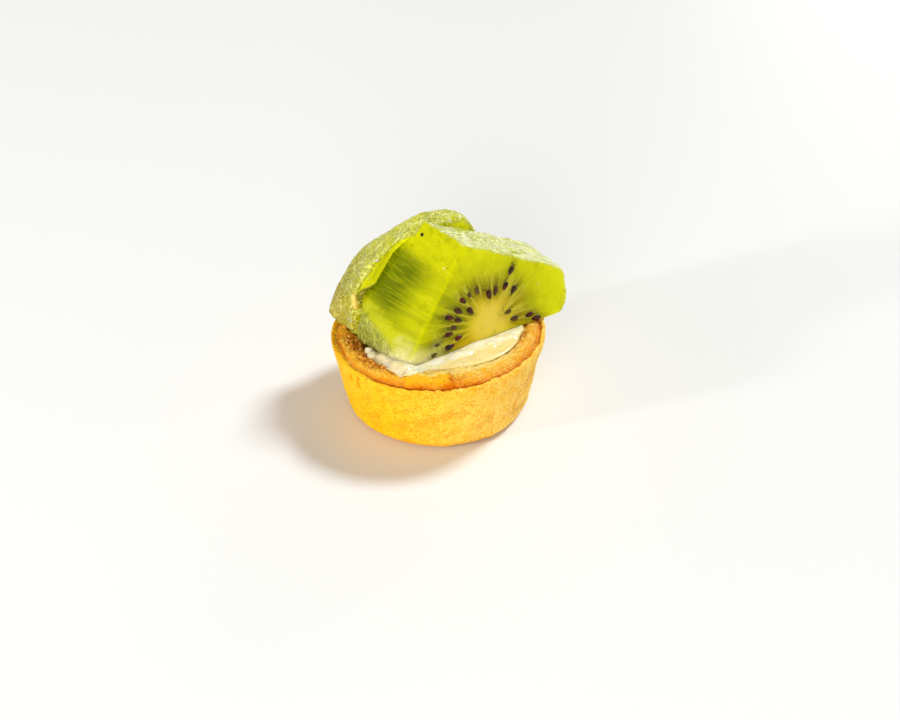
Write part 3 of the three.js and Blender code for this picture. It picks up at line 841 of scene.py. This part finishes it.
# Distance along each direction to the cream's slanting top
def reachBed(ways, middle):
    down = np.array([cream["alongX"], cream["alongY"], -1.0])
    x, y, z = middle
    drop = z - bedHeight(x, y) + cream["sink"]
    return reachTo(ways, down / np.linalg.norm(down), drop / np.linalg.norm(down))


# How far the contact between the chunks bulges to the left along the smooth cut's edge: most low down
def swellOf(points):
    offset = points - edgeAt
    run = offset @ edgeWay
    away = np.linalg.norm(offset - run[..., None] * edgeWay, axis=-1)
    amount = np.interp(run, edgeSwell["runs"], edgeSwell["sizes"])
    return edgeOut * (amount * bell(away, 0.0, edgeSwell["reach"]))[..., None]


# Lowest height that the fruit may have over a place: the cream's top, or just above the crust
def seatHeight(x, y):
    radius = np.hypot(x, y)
    bed = bedHeight(x, y) - cream["sink"]
    crust = np.where(radius < 25.3, rimTop(x, y), cup["height"] + cup["lean"] * x) + 0.32
    return bed + (np.maximum(crust, bed) - bed) * ease(radius, 16.2, 16.9)


# A chunk's own line, along which the fruit grew, and two directions square to it
def ownLine(chunk):
    own, ownAcross = heading(chunk["turnAt"], chunk["tiltAt"]), heading(chunk["turnAt"] + 90.0)
    return own, ownAcross, np.cross(own, ownAcross)


# Dark pockets of the seeded face: one round each seed, and a few with no seed in sight
def pocketsAt(radius, angle):
    pocket = np.zeros_like(radius)
    rounds = [(turn, distance + 0.6, 1.0, 1.15, 2.3) for turn, distance, veil in seeds["places"]]
    rounds += [(turn, distance, 0.8, 1.3, 1.8) for turn, distance in seeds["pockets"]]
    for turn, distance, strength, width, length in rounds:
        side = np.radians((angle - turn + 180.0) % 360.0 - 180.0) * radius
        pocket = np.maximum(pocket, strength * bell(side, 0.0, width) * bell(radius, distance, length))
    return pocket


# Distances from a chunk's middle to its uneven pared sides, to each of its cuts and to its outside
def reachesOf(ways, chunk):
    rough, seed = chunk["middle"] + ways * 14.0, chunk["seed"]
    uneven = 0.20 * layered(rough, 2.2, seed, 2) + 0.16 * noise(rough, 5.0, seed + 5)
    peel = softMin(reachFaces(ways, chunk["peeled"]), chunk["peelSoft"]) + uneven
    cuts = [reachBed(ways, chunk["middle"])] + reachFaces(ways, chunk["knife"])
    edges = [peel, *cuts]
    if chunk["seeded"]:
        # the edge between the seeded face and the smooth cut is worn rounder than the others
        cuts += reachFaces(ways, [chunk["seeded"]])
        edges = [peel, cuts[0], cuts[2], softMin([cuts[1], cuts[-1]], chunk["wornSoft"])]
    return peel, cuts, softMin(edges, chunk["edgeSoft"])


# Places for strokes that run round a chunk: the place along its own line and a turn at a fifth of its size
def strokesOf(offset, chunk):
    own, *square = ownLine(chunk)
    spokes = np.stack([offset @ way for way in square], -1)
    fromLine = np.linalg.norm(spokes, axis=-1, keepdims=True)
    spokes *= 3.6 / np.maximum(fromLine, 1e-6)
    return np.concatenate([spokes, (offset @ own)[..., None]], -1), ease(fromLine[..., 0], 5.0, 12.0)


# A chunk seen from its middle: along each direction it reaches to the nearest of its faces
def makeChunk(name, chunk, material, slot):
    ways = ballGrid(chunk["rows"], chunk["columns"])
    seed, middle, isFront = chunk["seed"], chunk["middle"], chunk["seeded"] is not None
    peel, cuts, reach = reachesOf(ways, chunk)
    grid = middle + ways * reach[..., None]
    grid = grid + swellOf(grid)
    x, z = grid[..., 0], grid[..., 2]
    past = peel - np.min(cuts, axis=0)
    cut = ease(past, -chunk["cutSoft"], chunk["cutSoft"])
    blank = np.zeros_like(cut)
    low = np.min([peel, *cuts], axis=0)
    weights = [np.exp((low - each) / chunk["blend"]) for each in (peel, *cuts)]
    seeded = weights[-1] / sum(weights) if isFront else blank
    a, b = (grid - coreAt) @ across, (grid - coreAt) @ upward
    radius, angle = np.hypot(a, b), np.degrees(np.arctan2(b, a))
    pocket = pocketsAt(radius, angle)
    golden = seeded * bell(np.hypot(a + 7.0, b + 4.0), 0.0, 3.6)
    lowLeft = ease(z, 36.0, 31.0) * ease(x, 0.0, -5.0) * (1.0 - seeded)
    if isFront:
        # the darker layer shows as a band along the smooth cut, darkest at its outer edge, and deepened by
        # painted shade
        outward, run = (grid - edgeAt) @ edgeOut, (grid - edgeAt) @ edgeWay
        smooth = cut - seeded
        band = ease(outward, -14.0, -4.5) * ease(run, 2.5, -3.0) * ease(run, -18.0, -11.0) * smooth
        # painted shade: darker green on the left of the seeded face, over the smooth cut and most low down on
        # it, and on the pared side low down
        turn, upCut = angle % 360.0, (grid - bandAt) @ upOfBand
        dim = 0.90 * seeded * ease(turn, 100.0, 155.0) * ease(turn, 250.0, 215.0)
        dim *= (1.0 - 0.4 * ease(radius, 15.0, 22.0)) * ease(radius, 4.0, 8.0)
        dim += smooth * (0.22 + (0.06 + 0.22 * ease(upCut, -5.0, -12.0)) * ease(upCut, 9.0, -3.0))
        dim += (1.0 - cut) * ease(z, 38.0, 24.0) * ease(x, 4.0, -2.0)
        # juice and pulp make a pale haze on both sides of the edge where the left side was pared
        haze = ease(np.abs(past) + 0.7 * noise(grid, 1.3, seed + 14), 2.3, 0.2) * lowLeft
        # where the seeded face meets the smooth cut the edge is chipped and soft
        ridge = np.exp(-np.abs(cuts[-1] - cuts[1]) / 0.5) * cut
    else:
        # low down the rough skin side runs right over to the other chunk, and painted shade makes it darker
        # green
        cut = cut * ease(z + 0.5 * noise(grid, 1.2, seed + 15), 29.8, 31.0)
        dim = 0.75 * ease(z + 1.5 * noise(grid, 3.0, seed + 13), 37.0, 27.0) * (1.0 - cut)
        band = haze = ridge = blank
    # how near a place is to the edge between pared and cut, and spots with painted glints and a wetter coat
    brink = np.exp(-np.abs(past) / 0.40) * (1.0 - lowLeft) * chunk["brink"]
    for shineAt, shineUp, spread in chunk["shine"]:
        apart = np.degrees(np.arccos(np.clip(ways @ heading(shineAt, shineUp), -1.0, 1.0)))
        brink = np.maximum(brink, bell(apart, 0.0, spread))
    drawn, settled = strokesOf(grid - middle, chunk)
    dimples = ease(cells(grid, 1.5, seed + 9)[0], 0.05, 0.6)
    crests = 1.5 - 2.0 * np.abs(noise(drawn, 1.1, seed + 11)) - np.abs(noise(drawn, 0.6, seed + 12))
    pared = 0.12 * (dimples - 0.6) + 0.09 * crests * settled + 0.12 * layered(grid, 2.6, seed + 6)
    relief = (1.0 - cut) * pared + cut * 0.03 * layered(grid, 1.6, seed + 3) - seeded * 0.10 * pocket
    if isFront:
        relief -= ridge * 0.16 * noise(grid, 1.4, seed + 7)
    else:
        relief += cut * settled * 0.16 * layered(drawn, 1.1, seed + 8)
    grid = grid + gridNormals(grid) * relief[..., None]
    x, y, z = (grid[..., k] for k in (0, 1, 2))
    grid[..., 2] = -softMin([-z, -seatHeight(x, y)], 0.06)
    # cream is smeared on low down in front
    smear = bell(z - seatHeight(x, y), 0.0, 3.0 + 1.6 * noise(grid, 2.2, seed + 4))
    smear *= (0.95 + 0.25 * noise(grid, 1.0, seed + 10)) * facing(np.arctan2(y, x), -122.0, 8)
    chunk["surface"] = grid
    return skin(name, grid, material, slot, {
        "cut": cut, "pocket": pocket * seeded, "smear": smear, "band": band, "dim": dim, "brink": brink,
        "haze": haze, "golden": golden, "tanned": ease(x, -18.0, -25.0) * ease(z, 34.0, 24.0)})


def coreValues(core, line, lineAcross, lineUp):
    return {"Core": tuple(core * mm), "Axis": tuple(line), "Across": tuple(lineAcross), "Up": tuple(lineUp)}


def kiwiMaterial(name, chunk, look):
    material, tree, bsdf = newMaterial(name)
    where = place(tree)
    cut, dim, brink = (field(tree, key) for key in ("cut", "dim", "brink"))
    flesh = useGroup(kiwiFlesh, {
        "Vector": where, **coreValues(fleshCore, axis, across, upward), "Pocket": field(tree, "pocket"),
        "Band": field(tree, "band"), "Shaded": dim, "Golden": field(tree, "golden")})
    own = coreValues(chunk["middle"], *ownLine(chunk))
    pared = useGroup(paredFlesh, {"Vector": where, **own, "Brink": brink})
    skinned = paint(mixColour(remap(pared["Clouds"], 0.36, 0.64), look["dim"], look["pale"]), [
        (pared["Fibres"], look["fibres"], look["fibre"]),
        # pale frost and painted sheen, less of it in the painted shade
        (pared["FrostAndSheen"], remap(dim, 0.0, 0.7, look["veiled"], look["veiled"] * 0.3), look["veil"]),
        (field(tree, "tanned"), remap(pared["Clouds"], 0.35, 0.60, 0.28, 0.7), (206, 176, 74)),
        # painted shade, with the fibres left lighter
        (dim, remap(pared["Fibres"], 0.0, 1.0, 0.90, look["lit"]), look["shade"])])
    # painted light: cutLight brightens the cut, as if light shone through the flesh
    shown = mixColour(look["cutLight"], flesh["Colour"], (248, 250, 28))
    # painted highlights: white glints over the cut flesh
    shown = paint(shown, [(flesh["Glints"], 0.6, (255, 255, 236))])
    # pulp: small pale clots over deeper green
    pulp = noiseAt(where, 1000.0, 3.0, 0.65)
    colour = paint(mixColour(cut, skinned, shown), [
        (field(tree, "haze"), remap(pulp, 0.40, 0.60, 0.08, 0.70), (200, 204, 58)),
        # painted highlights: white glints along the brink and at the spots
        (pared["Glints"], 0.9, (255, 255, 244)),
        (field(tree, "smear"), remap(pulp, 0.35, 0.55, 0.70, 1.0), (242, 236, 182))])
    soaked = remap(cut, 0.0, 1.0, look["wet"], look["cutWet"])
    coarse = bump(mixValue(cut, pared["Height"], times(flesh["Height"], 0.30)), look["rough"])
    feed(bsdf, {"Base Color": colour, "Roughness": remap(noiseAt(where, 500.0), 0.3, 0.7, 0.30, 0.50),
                "Specular IOR Level": 0.04, "Subsurface Weight": look["scatter"],
                "Subsurface Radius": (1.0, 1.0, 0.12), "Subsurface Scale": 0.0018,
                "Coat Weight": calc("MAXIMUM", soaked, times(brink, 0.95)), "Coat Roughness": 0.08,
                "Normal": bump(noiseAt(where, 1900.0), 0.00008, coarse)})
    return material


# Seeds: drops with a blunt outer end and a pointed inner end that looks at the core
def makeSeeds(material):
    random = np.random.default_rng(7)
    t = np.linspace(math.pi, 0.0, seeds["rows"])[:, None]
    turn = np.arange(seeds["columns"])[None] * 2 * math.pi / seeds["columns"]
    taper = np.sin(t) * (1.0 - 0.33 * np.cos(t)) * 0.95
    drop = np.stack([taper * np.cos(turn), -np.cos(t) * np.ones_like(turn), taper * np.sin(turn)], -1) * 0.5
    bodies = []
    for turnAt, distance, veil in seeds["places"]:
        outward = across * math.cos(math.radians(turnAt)) + upward * math.sin(math.radians(turnAt))
        middle = coreAt + outward * distance - axis * (seeds["sunk"] + 0.30 * veil)
        outward = outward + np.cross(axis, outward) * random.uniform(-0.22, 0.22)
        outward /= np.linalg.norm(outward)
        size = np.array([seeds["width"], seeds["length"], seeds["depth"]]) * random.uniform(0.88, 1.08)
        bodies.append(middle + (listed(drop) * size) @ np.stack([np.cross(outward, axis), outward, axis]))
    veils = np.array(seeds["places"])[:, 2]
    return manyOf("kiwiSeeds", np.array(bodies), drop.shape[:2], material, "kiwi_cut", "veil", veils)


def makeSeedMaterial():
    material, tree, bsdf = newMaterial("kiwiSeed")
    where = place(tree)
    colour = mixColour(remap(noiseAt(where, 420.0), 0.40, 0.66), (26, 12, 3), (84, 18, 6))
    feed(bsdf, {"Base Color": paint(colour, [(field(tree, "veil"), 0.7, (84, 78, 22))]), "Roughness": 0.40,
                "Specular IOR Level": 0.20, "Coat Weight": 0.35, "Coat Roughness": 0.06,
                "Normal": bump(noiseAt(where, 4200.0), 0.00008)})
    return material


# the pared side's dim and pale colours, its fibres, its veil of pale frost and painted sheen and its painted
# shade;
# how strong fibres and veil are, and how much lighter fibres stay in the painted shade; how far painted light
# brightens the cut; depth of the relief in metres; how wet the pared side and the cut are; and how much light
# goes in
frontLook = dict(dim=(168, 176, 6), pale=(200, 204, 24), fibre=(226, 230, 120), fibres=0.60,
                 veil=(228, 230, 190), veiled=0.42, shade=(120, 128, 10), lit=0.40, cutLight=0.0,
                 rough=0.00034, wet=0.6, cutWet=0.12, scatter=0.75)
backLook = dict(dim=(180, 181, 0), pale=(218, 222, 2), fibre=(252, 254, 146), fibres=0.80,
                veil=(246, 249, 160), veiled=0.50, shade=(162, 150, 0), lit=0.05, cutLight=0.90,
                rough=0.00055, wet=0.10, cutWet=0.3, scatter=0.40)
kiwiFront = makeChunk("kiwiFront", front, kiwiMaterial("kiwiCutFlesh", front, frontLook), "kiwi_cut")
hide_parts("kiwi_front")
kiwiSeeds = makeSeeds(makeSeedMaterial())
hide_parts("kiwi_front")
kiwiBack = makeChunk("kiwiBack", back, kiwiMaterial("kiwiParedFlesh", back, backLook), "kiwi_peeled")
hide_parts("kiwi_back")
print("kiwi chunks and", len(seeds["places"]), "seeds ready")


bits = dict(
    columns=20, rows=12,
    # chunk, azimuth and elevation from its middle, width, length and thickness, turn, colour
    list=[
        ["sliver", back, -129.2, -5.4, 1.40, 4.4, 0.9, 4.0, (250, 216, 112)],
        ["speckDark", front, 173.4, 49.9, 0.80, 0.90, 0.35, 20.0, (34, 38, 22)],
        ["speckBrown", front, -132.7, 49.1, 0.40, 0.30, 0.2, 0.0, (150, 110, 30)],
        ["speckSmall", front, 177.7, 40.3, 0.24, 0.24, 0.2, 0.0, (96, 92, 10)],
        ["speckEdge", front, -174.0, 0.4, 0.34, 0.40, 0.3, 0.0, (110, 84, 16)],
    ],
)


# A flattened, uneven ball that lies on a chunk where a line from the chunk's middle comes out
def makeBit(name, chunk, azimuth, elevation, width, length, thickness, turn, colour):
    surface = chunk["surface"]
    row = round((elevation + 90.0) / 180.0 * (chunk["rows"] - 1))
    column = round((azimuth % 360.0) / 360.0 * chunk["columns"]) % chunk["columns"]
    outward = gridNormals(surface)[row, column]
    sideways = np.cross([0.0, 0.0, 1.0], outward)
    sideways /= np.linalg.norm(sideways)
    upright = np.cross(outward, sideways)
    lean = math.radians(turn)
    turned = np.stack([sideways * math.cos(lean) + upright * math.sin(lean),
                       upright * math.cos(lean) - sideways * math.sin(lean), outward])
    ball = ballGrid(bits["rows"], bits["columns"]) * 0.5
    ball = ball * (1.0 + 0.30 * noise(ball, 0.35, len(name)))[..., None]
    grid = surface[row, column] + (ball * np.array([width, length, thickness])) @ turned
    material, tree, bsdf = newMaterial(name + "Look")
    speckled = noiseAt(place(tree), 1600.0)
    dark = (*(c * 0.72 for c in tone(colour)[:3]), 1.0)
    feed(bsdf, {"Base Color": mixColour(remap(speckled, 0.38, 0.62), dark, colour),
                "Roughness": remap(speckled, 0.3, 0.7, 0.35, 0.60), "Specular IOR Level": 0.3})
    return skin(name, grid, material, "crust")


for bit in bits["list"]:
    makeBit(*bit)


# the radii are the least, the most likely and the greatest
loose = dict(count=170, rows=7, columns=10, azimuths=[-179.0, -124.0], radii=[17.4, 18.8, 22.0],
             sizes=[0.35, 1.15])


# Loose crumbs on the browned part of the ring: uneven balls, turned and sized at random
def makeCrumbs():
    random = np.random.default_rng(11)
    ball = ballGrid(loose["rows"], loose["columns"]) * 0.5
    count, (small, large) = loose["count"], loose["sizes"]
    azimuth = np.radians(random.uniform(*loose["azimuths"], count))
    radius = random.triangular(*loose["radii"], count)
    x, y = radius * np.cos(azimuth), radius * np.sin(azimuth)
    size = small + (large - small) * random.random(count) ** 2.2
    middle = np.stack([x, y, rimTop(x, y) + 0.10 * size], -1)[:, None]
    turns = np.linalg.qr(random.normal(size=(count, 3, 3)))[0]
    turns[:, 0] *= np.sign(np.linalg.det(turns))[:, None]
    flat = listed(ball)
    uneven = 1.0 + 0.35 * noise(flat[None] + middle, 0.42, 17)
    lumps = flat * uneven[..., None] * np.array([1.0, 0.85, 0.7])
    bodies, toast = middle + lumps @ turns * size[:, None, None], random.random(count)
    return manyOf("looseCrumbs", bodies, ball.shape[:2], makeCrumbMaterial(), "crust", "toast", toast)


def makeCrumbMaterial():
    material, tree, bsdf = newMaterial("toastedCrumb")
    crumb = useGroup(bakedGrain, {"Vector": place(tree), "Grain": 3200.0, "Pores": 0.5})
    colour = rampOf(field(tree, "toast"), [
        (0.00, 190, 102, 10), (0.40, 224, 140, 28), (0.70, 246, 178, 62), (1.00, 255, 214, 124)])
    colour = paint(colour, [(crumb["Flecks"], 0.45, (252, 214, 120)), (crumb["Specks"], 0.45, (150, 76, 6))])
    feed(bsdf, {"Base Color": colour, "Roughness": remap(crumb["Patches"], 0.3, 0.7, 0.55, 0.80),
                "Specular IOR Level": 0.15, "Normal": bump(crumb["Height"], 0.00020)})
    return material


makeCrumbs()
print("bits on the fruit and", loose["count"], "crumbs ready")


studio = dict(
    floorSize=3.0, floorTone=0.81, ambient=0.38, ambientTint=(1.0, 0.83, 0.67, 1.0),
    # each lamp: kind, azimuth and elevation, distance, a sun's angle or a disk's size, power and tint
    lamps=dict(
        key=["SUN", (35.0, 50.0), 1.6, 0.25, 2.75, (0.84, 0.94, 1.0)],
        fill=["AREA", (-100.0, 14.0), 1.4, 0.9, 14.6, (1.0, 0.97, 0.90)],
        spark=["AREA", (-155.0, 16.0), 1.2, 0.13, 4.6, (1.0, 1.0, 1.0)],
        glow=["AREA", (66.0, 12.0), 1.7, 0.9, 5.2, (1.0, 1.0, 1.0)],
    ),
    lens=80.72, sensor=36.0, cameraAt=(0.00288, -0.39405, 0.28048), cameraTilt=55.6,
)


def makeFloor():
    half, level = studio["floorSize"] / 2, studio["floorTone"]
    mesh = bpy.data.meshes.new("floor")
    corners = [(-half, -half, 0), (half, -half, 0), (half, half, 0), (-half, half, 0)]
    mesh.from_pydata(corners, [], [(0, 1, 2, 3)])
    material, tree, bsdf = newMaterial("paleFloor")
    pale, duller = ((level * share, level * share, level * (share - 0.005), 1.0) for share in (1.0, 0.99))
    feed(bsdf, {"Base Color": mixColour(noiseAt(place(tree), 3.0), pale, duller), "Roughness": 0.30,
                "Specular IOR Level": 0.25})
    mesh.materials.append(material)
    floor = bpy.data.objects.new("floor", mesh)
    bpy.context.scene.collection.objects.link(floor)


def makeLamp(name, kind, direction, distance, size, power, tint):
    lamp = bpy.data.lights.new(name, kind)
    lamp.energy, lamp.color = power, tint
    if kind == "SUN":
        lamp.angle = size
    else:
        lamp.shape, lamp.size = "DISK", size
    obj = bpy.data.objects.new(name, lamp)
    way = Vector(heading(*direction))
    obj.location = way * distance
    obj.rotation_mode = "QUATERNION"
    obj.rotation_quaternion = way.to_track_quat("Z", "Y")
    obj.visible_glossy = name != "fill"  # its broad reflection would dull every edge
    bpy.context.scene.collection.objects.link(obj)


makeFloor()
for lampName, settings in studio["lamps"].items():
    makeLamp(lampName, *settings)

world = bpy.data.worlds.new("studio")
bpy.context.scene.world = world
world.use_nodes = True
background = world.node_tree.nodes["Background"].inputs
feed(background, {"Color": studio["ambientTint"], "Strength": studio["ambient"]})

view = bpy.data.cameras.new("camera")
view.sensor_width, view.lens = studio["sensor"], studio["lens"]
view.clip_start, view.clip_end = 0.01, 10.0
camera = bpy.data.objects.new("camera", view)
camera.location = studio["cameraAt"]
camera.rotation_euler = (math.radians(studio["cameraTilt"]), 0.0, 0.0)
bpy.context.scene.collection.objects.link(camera)
bpy.context.scene.camera = camera
bpy.context.scene.view_settings.view_transform = "Standard"
bpy.context.scene.view_settings.look = "None"
print("floor, lamps and camera ready")
